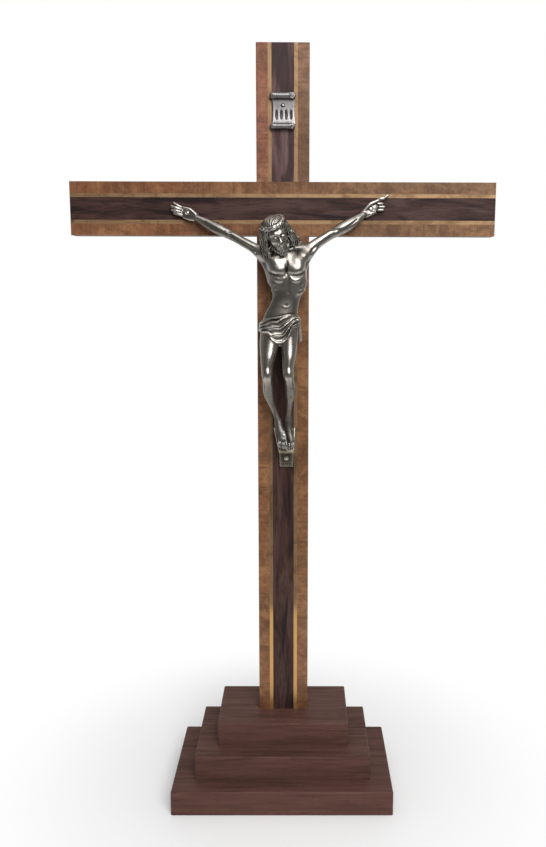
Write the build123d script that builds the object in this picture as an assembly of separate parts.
from build123d import *
import os
from math import cos, radians, sin

# A standing crucifix: a stepped wooden base, an inlaid wooden cross and a cast figure nailed to it.
# Millimetres. The origin is the middle of the base's underside, X runs along the crossbar,
# the figure looks towards -Y and Z is up.

# Base of three boards, flush at the back
step_height = 12.0
step_tread = 10.5
top_step_width = 66.0
top_step_depth = 40.0
step_edge_chamfer = 0.5

# Cross: two cores of one width under a facing of five strips
bar_width = 25.0
core_thickness = 8.0
facing_thickness = 2.0
crossbar_length = 202.0
shaft_length = 242.0
upper_arm_length = 62.5
dark_panel_width = 10.5
brass_width = 1.75
bar_edge_radius = 0.4
cross_set_back = 36.0

# Tenon of the upright in the top step
tenon_width = 18.0
tenon_thickness = 5.5

# Screws from below: one in the upright, two that clamp the boards
screw_radius = 2.0
screw_head_radius = 4.0
screw_slot_width = 1.0
screw_slot_depth = 1.0
upright_screw_grip = 24.0
step_screw_grip = 8.0

# Nails of the casting, the foot rest and the scroll
nail_radius = 0.6
nail_head_radius = 1.15
nail_head_height = 0.75
nail_grip = 6.5
# The dome of a nail's head, as shares of its radius and height
nail_dome_shares = [
    (0.90, 0.45),
    (0.55, 0.85),
]

# Title scroll
scroll_width = 11.4
scroll_height = 16.9
scroll_thickness = 0.7
scroll_roll_radius = 1.55
scroll_roll_gap = 0.2
scroll_nail_drop = 5.4

# Foot rest: the wall of its nailed tab
rest_tab_thickness = 1.5

# Cast figure, from the crown to the toes
figure_height = 110.0

# Fits
tenon_clearance = 0.1
screw_clearance = 0.1
nail_clearance = 0.05
overrun = 2.0

# Places on the figure are shares of its height: across to the right, out from the cross's face
# and up from the middle of the crossing. Radii follow them, first the one in depth.
torso_section_shares = [
    (-0.012, 0.074, -0.580, 0.026, 0.040),
    (-0.011, 0.073, -0.535, 0.040, 0.071),
    (-0.011, 0.073, -0.514, 0.042, 0.075),
    (-0.004, 0.075, -0.455, 0.042, 0.070),
    (0.016, 0.075, -0.382, 0.038, 0.061),
    (0.020, 0.078, -0.310, 0.044, 0.073),
    (0.015, 0.080, -0.250, 0.047, 0.082),
    (0.006, 0.077, -0.200, 0.042, 0.080),
    (0.003, 0.077, -0.160, 0.030, 0.050),
    (-0.006, 0.092, -0.110, 0.026, 0.027),
]
left_arm_section_shares = [
    (-0.050, 0.075, -0.205, 0.028, 0.027),
    (-0.110, 0.072, -0.172, 0.022, 0.021),
    (-0.190, 0.064, -0.131, 0.020, 0.020),
    (-0.268, 0.054, -0.093, 0.019, 0.019),
    (-0.305, 0.047, -0.075, 0.020, 0.021),
    (-0.360, 0.032, -0.047, 0.013, 0.015),
    (-0.380, 0.026, -0.037, 0.012, 0.016),
]
right_arm_section_shares = [
    (0.065, 0.075, -0.205, 0.028, 0.027),
    (0.118, 0.072, -0.170, 0.023, 0.022),
    (0.172, 0.064, -0.130, 0.021, 0.021),
    (0.232, 0.054, -0.092, 0.020, 0.020),
    (0.268, 0.047, -0.070, 0.021, 0.022),
    (0.332, 0.032, -0.030, 0.013, 0.015),
    (0.352, 0.026, -0.017, 0.012, 0.016),
]
left_leg_section_shares = [
    (-0.036, 0.073, -0.490, 0.020, 0.020),
    (-0.054, 0.082, -0.560, 0.035, 0.035),
    (-0.063, 0.097, -0.620, 0.032, 0.033),
    (-0.064, 0.107, -0.690, 0.026, 0.026),
    (-0.060, 0.090, -0.755, 0.022, 0.021),
    (-0.044, 0.071, -0.822, 0.021, 0.020),
    (-0.020, 0.066, -0.892, 0.014, 0.012),
    (-0.010, 0.070, -0.922, 0.013, 0.012),
]
right_leg_section_shares = [
    (0.020, 0.073, -0.490, 0.020, 0.020),
    (0.030, 0.082, -0.560, 0.035, 0.034),
    (0.029, 0.097, -0.620, 0.032, 0.032),
    (0.023, 0.107, -0.690, 0.026, 0.025),
    (0.027, 0.088, -0.755, 0.021, 0.019),
    (0.035, 0.068, -0.810, 0.020, 0.019),
    (0.031, 0.058, -0.878, 0.013, 0.011),
    (0.033, 0.053, -0.910, 0.013, 0.012),
]
left_foot_section_shares = [
    (-0.017, 0.067, -0.902, 0.013, 0.012),
    (-0.006, 0.076, -0.942, 0.014, 0.015),
    (0.001, 0.080, -0.975, 0.013, 0.018),
    (0.001, 0.082, -1.005, 0.011, 0.020),
    (0.000, 0.082, -1.020, 0.009, 0.019),
]
right_foot_section_shares = [
    (0.032, 0.056, -0.890, 0.013, 0.012),
    (0.036, 0.047, -0.940, 0.014, 0.015),
    (0.034, 0.054, -0.980, 0.014, 0.016),
    (0.032, 0.068, -1.012, 0.012, 0.017),
    (0.032, 0.074, -1.026, 0.010, 0.016),
]
cloth_section_shares = [
    (-0.010, 0.078, -0.572, 0.044, 0.070),
    (-0.009, 0.078, -0.546, 0.050, 0.079),
    (-0.009, 0.078, -0.525, 0.047, 0.076),
    (-0.008, 0.078, -0.505, 0.051, 0.082),
    (-0.007, 0.078, -0.485, 0.047, 0.077),
    (-0.006, 0.078, -0.464, 0.048, 0.075),
]
cloth_tilt = 13.5
cloth_tail_section_shares = [
    (0.066, 0.090, -0.450, 0.012, 0.010),
    (0.076, 0.094, -0.475, 0.016, 0.011),
    (0.077, 0.092, -0.525, 0.017, 0.011),
    (0.080, 0.090, -0.588, 0.019, 0.014),
]
# The body's rounded masses: place, then radii across, in depth and up.
chest_mass_shares = [
    (-0.018, 0.104, -0.258, 0.035, 0.025, 0.040),
    (0.054, 0.104, -0.256, 0.035, 0.025, 0.040),
]
kneecap_mass_shares = [
    (-0.064, 0.122, -0.700, 0.016, 0.013, 0.021),
    (0.022, 0.121, -0.698, 0.015, 0.013, 0.021),
]
cloth_drape_share = (-0.010, 0.106, -0.556, 0.046, 0.024, 0.034)
cloth_knot_share = (0.066, 0.094, -0.442, 0.018, 0.019, 0.015)
# The hands and feet: the palms, then fingers and toes from root to tip with the radius at each end.
left_palm_section_shares = [
    (-0.366, 0.031, -0.044, 0.012, 0.015),
    (-0.388, 0.020, -0.033, 0.011, 0.021),
    (-0.412, 0.009, -0.021, 0.010, 0.025),
    (-0.432, 0.009, -0.012, 0.009, 0.023),
]
right_palm_section_shares = [
    (0.340, 0.031, -0.025, 0.012, 0.015),
    (0.360, 0.020, -0.010, 0.011, 0.021),
    (0.380, 0.009, 0.001, 0.010, 0.024),
    (0.398, 0.009, 0.010, 0.009, 0.021),
]
left_finger_shares = [
    ((-0.424, 0.010, -0.001), (-0.460, 0.014, 0.018), 0.0064, 0.0050),
    ((-0.430, 0.010, -0.012), (-0.471, 0.015, 0.006), 0.0066, 0.0052),
    ((-0.430, 0.010, -0.023), (-0.466, 0.015, -0.012), 0.0064, 0.0050),
    ((-0.424, 0.010, -0.033), (-0.451, 0.014, -0.029), 0.0058, 0.0046),
    ((-0.384, 0.022, -0.019), (-0.418, 0.024, -0.002), 0.0078, 0.0058),
]
right_finger_shares = [
    ((0.384, 0.010, 0.021), (0.456, 0.017, 0.052), 0.0064, 0.0046),
    ((0.390, 0.010, 0.016), (0.424, 0.021, 0.018), 0.0068, 0.0060),
    ((0.393, 0.010, 0.006), (0.430, 0.021, 0.006), 0.0068, 0.0060),
    ((0.391, 0.010, -0.005), (0.422, 0.019, -0.005), 0.0062, 0.0055),
    ((0.358, 0.022, 0.000), (0.408, 0.024, 0.032), 0.0078, 0.0054),
]
left_toe_shares = [
    ((0.012, 0.083, -1.010), (0.012, 0.086, -1.031), 0.0080, 0.0066),
    ((0.002, 0.083, -1.012), (0.001, 0.086, -1.030), 0.0062, 0.0052),
    ((-0.007, 0.083, -1.010), (-0.009, 0.086, -1.026), 0.0058, 0.0048),
    ((-0.014, 0.082, -1.006), (-0.016, 0.085, -1.020), 0.0052, 0.0044),
]
right_toe_shares = [
    ((0.042, 0.073, -1.014), (0.042, 0.077, -1.036), 0.0080, 0.0066),
    ((0.031, 0.074, -1.016), (0.031, 0.078, -1.037), 0.0062, 0.0052),
    ((0.022, 0.074, -1.016), (0.022, 0.078, -1.035), 0.0058, 0.0048),
]
finger_sides = 8
finger_end_share = 0.55
left_palm_nail_share = (-0.409, -0.019)
right_palm_nail_share = (0.378, -0.001)
palm_seat_share = 0.017
feet_nail_share = (0.005, -0.980)
feet_seat_share = 0.090
# The foot rest under the feet: the middle and underside of its tab, its heights, reach and widths.
rest_place_share = (0.0145, -1.1355)
rest_height_share = 0.182
rest_tab_height_share = 0.074
rest_lip_share = 0.014
rest_reach_share = 0.0755
rest_top_reach_share = 0.027
rest_top_width_share = 0.0945
rest_front_width_share = 0.068
rest_tab_width_share = 0.061
rest_nail_rise_share = 0.040
# The head: its middle, then its masses in its own frame, across, back and up, before it is bowed.
head_place_share = (-0.026, 0.118, -0.112)
head_bow = 16.0
head_lean = -20.0
head_turn = 10.0
skull_share = (0.000, 0.006, 0.012, 0.048, 0.054, 0.060)
face_share = (0.000, -0.016, -0.022, 0.038, 0.040, 0.052)
nose_share = (0.000, -0.052, -0.020, 0.0060, 0.009, 0.017)
cheek_shares = [
    (-0.018, -0.037, -0.026, 0.014, 0.014, 0.015),
    (0.018, -0.037, -0.026, 0.014, 0.014, 0.015),
]
brow_share = (0.000, -0.037, 0.003, 0.026, 0.016, 0.007)
eye_shares = [
    (-0.016, -0.046, -0.009, 0.008, 0.006, 0.005),
    (0.016, -0.046, -0.009, 0.008, 0.006, 0.005),
]
beard_share = (0.000, -0.034, -0.062, 0.026, 0.021, 0.026)
moustache_share = (0.000, -0.047, -0.041, 0.013, 0.008, 0.0045)
left_hair_section_shares = [
    (-0.038, 0.004, 0.030, 0.030, 0.016),
    (-0.050, 0.000, -0.010, 0.036, 0.018),
    (-0.050, 0.006, -0.055, 0.034, 0.019),
    (-0.036, 0.014, -0.100, 0.024, 0.018),
]
right_hair_section_shares = [
    (0.038, 0.004, 0.030, 0.030, 0.016),
    (0.050, 0.000, -0.010, 0.034, 0.017),
    (0.052, 0.004, -0.060, 0.030, 0.017),
    (0.042, 0.006, -0.112, 0.020, 0.014),
]
thorn_band_share = 0.0475
thorn_band_rise_share = 0.033
thorn_band_radius_share = 0.0065
thorn_band_sides = 8
thorn_band_tilt = 8.0

# Worked-out places. The cross is built about the middle of the crossing's face, then set on the base.
middle_step_width = top_step_width + 2 * step_tread
bottom_step_width = top_step_width + 4 * step_tread
middle_step_depth = top_step_depth + step_tread
bottom_step_depth = top_step_depth + 2 * step_tread
base_back = bottom_step_depth / 2
crossbar_top = bar_width / 2
crossbar_bottom = -crossbar_top
cross_top = crossbar_top + upper_arm_length
shaft_bottom = crossbar_bottom - shaft_length
face_y = cross_set_back - base_back
crossing_z = 3 * step_height - shaft_bottom
core_middle = facing_thickness + core_thickness / 2
burl_width = (bar_width - dark_panel_width - 2 * brass_width) / 2
half_lap = core_thickness / 2
screw_head_height = screw_head_radius - screw_radius
step_screw_x = (tenon_width + top_step_width) / 4
scroll_middle = crossbar_top + upper_arm_length / 2


def block(width, depth, height, x, y, z):
    """A box from its sizes, the middle of its width, its front and its underside."""
    shape = Box(width, depth, height, align=(Align.CENTER, Align.MIN, Align.MIN))
    return Pos(x, y, z) * shape


def bore(radius, x, z, start, end):
    """A round cutter along Y from start to end."""
    shape = Cylinder(radius, end - start, align=(Align.CENTER, Align.CENTER, Align.MIN))
    return Pos(x, start, z) * Rot(X=-90) * shape


def spin(points):
    """Revolve a closed outline of radius and height about Z."""
    return revolve(Plane.XZ * make_face(Polyline(*points, close=True)), Axis.Z)


# Screws and nails
def screw(length):
    """A slotted countersunk wood screw, pointing up from its flat head at the origin."""
    tip = length - screw_radius
    shape = spin([
        (0, 0),
        (screw_head_radius, 0),
        (screw_radius, screw_head_height),
        (screw_radius, tip),
        (0, length),
    ])
    slot_length = 2 * screw_head_radius + overrun
    return shape - block(slot_length, screw_slot_width, screw_slot_depth, 0, -screw_slot_width / 2, 0)


def screw_hole(length):
    """The room a screw takes, with its countersink opened past the underside."""
    radius = screw_radius + screw_clearance
    head = screw_head_radius + screw_clearance
    return spin([
        (0, -overrun),
        (head, -overrun),
        (head, 0),
        (radius, screw_head_height),
        (radius, length + screw_clearance),
        (0, length + screw_clearance),
    ])


def nail(x, z, seat):
    """A round-headed nail whose head seats at the given distance out from the cross's face."""
    length = seat + nail_grip
    dome = [(nail_head_radius * wide, nail_head_height * high) for wide, high in nail_dome_shares]
    shape = spin([
        (0, -length),
        (nail_radius, -length + 2 * nail_radius),
        (nail_radius, 0),
        (nail_head_radius, 0),
        *dome,
        (0, nail_head_height),
    ])
    return Pos(x, -seat, z) * Rot(X=90) * shape


def nail_hole(x, z, start, end):
    """A hole for a nail between two distances out from the cross's face."""
    return bore(nail_radius + nail_clearance, x, z, -end, -start)


# Base
def step_board(width, depth, level):
    """One board of the base, with its edges eased, at its level from below."""
    shape = block(width, depth, step_height, 0, base_back - depth, level * step_height)
    eased = shape.edges().filter_by(Axis.Z) + shape.edges().group_by(Axis.Z)[-1]
    return chamfer(eased, step_edge_chamfer)


def screw_places():
    """Each screw's place and length: the upright's, then the two clamps."""
    through = 2 * step_height
    return [
        (0, through + upright_screw_grip),
        (-step_screw_x, through + step_screw_grip),
        (step_screw_x, through + step_screw_grip),
    ]


def base():
    """The three boards with their screw holes, the mortise, and the screws."""
    boards = {
        "base_step_bottom": step_board(bottom_step_width, bottom_step_depth, 0),
        "base_step_middle": step_board(middle_step_width, middle_step_depth, 1),
        "base_step_top": step_board(top_step_width, top_step_depth, 2),
    }
    mortise_width = tenon_width + 2 * tenon_clearance
    mortise_depth = tenon_thickness + 2 * tenon_clearance
    middle = face_y + core_middle
    mortise_front = middle - mortise_depth / 2
    mortise = block(mortise_width, mortise_depth, step_height + overrun, 0, mortise_front, 2 * step_height)
    boards["base_step_top"] -= mortise
    for x, length in screw_places():
        for name in boards:
            boards[name] -= Pos(x, middle, 0) * screw_hole(length)
    screws = [Pos(x, middle, 0) * screw(length) for x, length in screw_places()]
    return boards | {"upright_screw": screws[0], "step_screws": Compound(children=[*screws[1:]])}


# Cross
def cores():
    """The upright and the crossbar, half-lapped at the crossing, the upright with its tenon."""
    upright = block(bar_width, core_thickness, cross_top - shaft_bottom, 0, facing_thickness, shaft_bottom)
    tenon_front = core_middle - tenon_thickness / 2
    tenon_bottom = shaft_bottom - step_height
    upright += block(tenon_width, tenon_thickness, step_height, 0, tenon_front, tenon_bottom)
    upright -= block(bar_width + overrun, half_lap, bar_width, 0, facing_thickness, crossbar_bottom)
    upright -= Pos(0, core_middle, -crossing_z) * screw_hole(screw_places()[0][1])
    crossbar = block(crossbar_length, core_thickness, bar_width, 0, facing_thickness, crossbar_bottom)
    crossbar -= block(bar_width, half_lap + overrun, bar_width, 0, core_middle, crossbar_bottom)
    return {"upright_core": upright, "crossbar_core": crossbar}


def strip_spans():
    """Each strip's span across a bar, from one edge to the other."""
    widths = [burl_width, brass_width, dark_panel_width, brass_width, burl_width]
    edges = [-bar_width / 2]
    for width in widths:
        edges.append(edges[-1] + width)
    return list(zip(edges[:-1], edges[1:]))


def eased_strip(shape, outer_edges):
    """A strip with the outer front edges of the bar rounded."""
    return fillet(outer_edges, bar_edge_radius) if len(outer_edges) else shape


def upright_strips(prefix, bottom, top):
    """The five facing strips of one length of the upright."""
    names = ["burl_left", "brass_left", "dark_panel", "brass_right", "burl_right"]
    strips = {}
    for name, (low, high) in zip(names, strip_spans()):
        shape = block(high - low, facing_thickness, top - bottom, (low + high) / 2, 0, bottom)
        front = shape.edges().group_by(Axis.Y)[0].filter_by(Axis.Z)
        outer = [edge for edge in front if abs(edge.center().X) > bar_width / 2 - bar_edge_radius]
        strips[f"{prefix}_{name}"] = eased_strip(shape, outer)
    return strips


def crossbar_strips():
    """The five facing strips that run the whole crossbar."""
    names = ["burl_lower", "brass_lower", "dark_panel", "brass_upper", "burl_upper"]
    strips = {}
    for name, (low, high) in zip(names, strip_spans()):
        strips[f"crossbar_{name}"] = block(crossbar_length, facing_thickness, high - low, 0, 0, low)
    return strips


# Title scroll
def roll_section(sign):
    """A sheet rolled forward at one end of the scroll, as half rings that tighten, in depth and height."""
    section = Sketch()
    radius = scroll_roll_radius
    height = sign * (scroll_height / 2 - scroll_roll_radius)
    depth = scroll_roll_radius
    side = sign
    step = (scroll_thickness + scroll_roll_gap) / 2
    shift = step
    while radius > scroll_thickness:
        ring = Circle(radius) - Circle(radius - scroll_thickness)
        half = Pos(0, side * radius / 2) * Rectangle(2 * radius, radius)
        section += Pos(depth, height) * (ring & half)
        depth += shift
        radius -= step
        shift = -shift
        side = -side
    return section


def title_scroll():
    """The scroll: a plate on the cross's face that rolls forward at its top and bottom."""
    body_height = scroll_height - 2 * scroll_roll_radius
    section = Pos(scroll_thickness / 2, 0) * Rectangle(scroll_thickness, body_height)
    section += roll_section(1)
    section += roll_section(-1)
    plane = Plane(origin=(-scroll_width / 2, 0, scroll_middle), x_dir=(0, -1, 0), z_dir=(1, 0, 0))
    return extrude(plane * section, scroll_width)


# Figure
def figure_point(place):
    """A point on the figure from its shares across, out and up."""
    across, out, up = place
    return Vector(figure_height * across, -figure_height * out, figure_height * up)


def loft_along(points, radii, tilt=None):
    """Loft elliptical sections square to the run of the points, or all tilted alike."""
    sections = []
    last = len(points) - 1
    for index, (point, (deep, wide)) in enumerate(zip(points, radii)):
        run = points[min(index + 1, last)] - points[max(index - 1, 0)] if tilt is None else tilt
        plane = Plane(origin=point, x_dir=(0, -1, 0), z_dir=run)
        sections.append(plane * Ellipse(deep, wide))
    return loft(sections)


def limb(section_shares, tilt=None):
    """A limb of the figure from its table of sections."""
    points = [figure_point(row[:3]) for row in section_shares]
    radii = [(figure_height * row[3], figure_height * row[4]) for row in section_shares]
    return loft_along(points, radii, tilt)


def mass(radius_shares):
    """An ellipsoid about the origin."""
    return scale(Sphere(figure_height), by=tuple(radius_shares))


def body_mass(share):
    """An ellipsoid at its place on the figure."""
    return Location(figure_point(share[:3])) * mass(share[3:])


def finger(start, end, root_share, tip_share):
    """A finger or toe: a many-sided taper that closes in at its tip."""
    first = figure_point(start)
    run = figure_point(end) - first
    tip = figure_height * tip_share
    sections = [
        RegularPolygon(figure_height * root_share, finger_sides),
        Pos(0, 0, run.length) * RegularPolygon(tip, finger_sides),
        Pos(0, 0, run.length + tip) * RegularPolygon(finger_end_share * tip, finger_sides),
    ]
    return Location(Plane(origin=first, z_dir=run)) * loft(sections, ruled=True)


def head():
    """The bowed head: skull, face, beard, long hair and the band of thorns."""
    place = Location(figure_point(head_place_share)) * Rot(Z=head_turn) * Rot(Y=head_lean) * Rot(X=head_bow)
    solids = []
    masses = [skull_share, face_share, nose_share, brow_share, beard_share, moustache_share]
    for share in masses + cheek_shares + eye_shares:
        solids.append(Pos(*(figure_height * part for part in share[:3])) * mass(share[3:]))
    for rows in (left_hair_section_shares, right_hair_section_shares):
        points = [Vector(*(figure_height * part for part in row[:3])) for row in rows]
        radii = [(figure_height * row[3], figure_height * row[4]) for row in rows]
        solids.append(loft_along(points, radii))
    band_section = RegularPolygon(figure_height * thorn_band_radius_share, thorn_band_sides)
    band = revolve(Plane.XZ * Pos(figure_height * thorn_band_share, 0) * band_section, Axis.Z)
    solids.append(Pos(0, 0, figure_height * thorn_band_rise_share) * Rot(X=thorn_band_tilt) * band)
    return [place * solid for solid in solids]


def hand(palm_shares, finger_shares):
    """A palm with its fingers and thumb."""
    return fuse_all([limb(palm_shares)] + [finger(*row) for row in finger_shares])


def leg(leg_shares, foot_shares, toe_shares, kneecap_share):
    """A leg with its kneecap, foot and toes."""
    foot = fuse_all([limb(foot_shares)] + [finger(*row) for row in toe_shares])
    return limb(leg_shares) + body_mass(kneecap_share) + foot


def loincloth():
    """The folded cloth about the hips with its drape, knot and hanging end."""
    lean = radians(cloth_tilt)
    folds = limb(cloth_section_shares, Vector(-sin(lean), 0, cos(lean)))
    tail = limb(cloth_tail_section_shares)
    return fuse_all([folds, body_mass(cloth_drape_share), tail, body_mass(cloth_knot_share)])


def fuse_all(solids):
    """One solid from several, fused in turn."""
    whole = solids[0]
    for solid in solids[1:]:
        whole = whole + solid
    return whole


def figure():
    """The casting before it is fitted to the cross."""
    torso = limb(torso_section_shares)
    parts = [
        torso,
        body_mass(chest_mass_shares[0]),
        body_mass(chest_mass_shares[1]),
        limb(left_arm_section_shares),
        limb(right_arm_section_shares),
        leg(left_leg_section_shares, left_foot_section_shares, left_toe_shares, kneecap_mass_shares[0]),
        leg(right_leg_section_shares, right_foot_section_shares, right_toe_shares, kneecap_mass_shares[1]),
        loincloth(),
        hand(left_palm_section_shares, left_finger_shares),
        hand(right_palm_section_shares, right_finger_shares),
        fuse_all(head()),
    ]
    return fuse_all(parts)


# Foot rest
def foot_rest():
    """The sloping ledge and its tab: a side profile cut to a tapered front outline."""
    across, up = rest_place_share
    height = figure_height * rest_height_share
    tab_height = figure_height * rest_tab_height_share
    lip = tab_height + figure_height * rest_lip_share
    reach = figure_height * rest_reach_share
    top_reach = figure_height * rest_top_reach_share
    side = Polyline(
        (0, 0),
        (rest_tab_thickness, 0),
        (rest_tab_thickness, tab_height),
        (reach, tab_height),
        (reach, lip),
        (top_reach, height),
        (0, height),
        close=True,
    )
    tab_half = figure_height * rest_tab_width_share / 2
    front_half = figure_height * rest_front_width_share / 2
    top_half = figure_height * rest_top_width_share / 2
    front = Polyline(
        (-tab_half, 0),
        (tab_half, 0),
        (front_half, lip),
        (top_half, height),
        (-top_half, height),
        (-front_half, lip),
        close=True,
    )
    corner = (figure_height * across, 0, figure_height * up)
    side_plane = Plane(origin=corner, x_dir=(0, -1, 0), z_dir=(-1, 0, 0))
    front_plane = Plane(origin=corner, x_dir=(1, 0, 0), z_dir=(0, -1, 0))
    wide = extrude(side_plane * make_face(side), top_half, both=True)
    return wide & extrude(front_plane * make_face(front), reach)


def nail_places():
    """Each nail's place across and up, and how far out its head seats."""
    def on_figure(share, seat):
        return figure_height * share[0], figure_height * share[1], seat

    rest_nail = (rest_place_share[0], rest_place_share[1] + rest_nail_rise_share)
    scroll_nail_z = scroll_middle + scroll_height / 2 - scroll_nail_drop
    return {
        "hand_nail_left": on_figure(left_palm_nail_share, figure_height * palm_seat_share),
        "hand_nail_right": on_figure(right_palm_nail_share, figure_height * palm_seat_share),
        "feet_nail": on_figure(feet_nail_share, figure_height * feet_seat_share),
        "foot_rest_nail": on_figure(rest_nail, rest_tab_thickness),
        "scroll_nail": (0, scroll_nail_z, scroll_thickness),
    }


def drilled(shape, name):
    """A shape with a nail's hole and the seat of its head taken out."""
    x, z, seat = nail_places()[name]
    hole = nail_hole(x, z, -nail_grip - nail_clearance, seat + overrun)
    recess = bore(nail_head_radius + nail_clearance, x, z, -seat - overrun, -seat)
    return shape - hole - recess


def cross_with_figure():
    """The cross, its facing, the castings and the nails, drilled for one another."""
    wood = cores() | crossbar_strips()
    wood |= upright_strips("shaft", shaft_bottom, crossbar_bottom)
    wood |= upright_strips("upper_arm", crossbar_top, cross_top)
    for x, z, _ in nail_places().values():
        hole = nail_hole(x, z, -nail_grip - nail_clearance, 0)
        for name, shape in wood.items():
            if shape.bounding_box().overlaps(hole.bounding_box()):
                wood[name] = shape - hole
    rest = foot_rest()
    casting = figure() - rest
    casting -= block(crossbar_length, core_thickness, cross_top - shaft_bottom, 0, 0, shaft_bottom)
    for name in ("hand_nail_left", "hand_nail_right", "feet_nail"):
        casting = drilled(casting, name)
    castings = {
        "corpus": casting,
        "foot_rest": drilled(drilled(rest, "foot_rest_nail"), "feet_nail"),
        "title_scroll": drilled(title_scroll(), "scroll_nail"),
    }
    nails = {name: nail(*place) for name, place in nail_places().items()}
    pieces = wood | castings | nails
    return {name: Pos(0, face_y, crossing_z) * shape for name, shape in pieces.items()}


if __name__ == "__main__":
    os.makedirs("parts", exist_ok=True)
    nodes = base() | cross_with_figure()
    for name, shape in nodes.items():
        export_step(shape, f"parts/{name}.step")
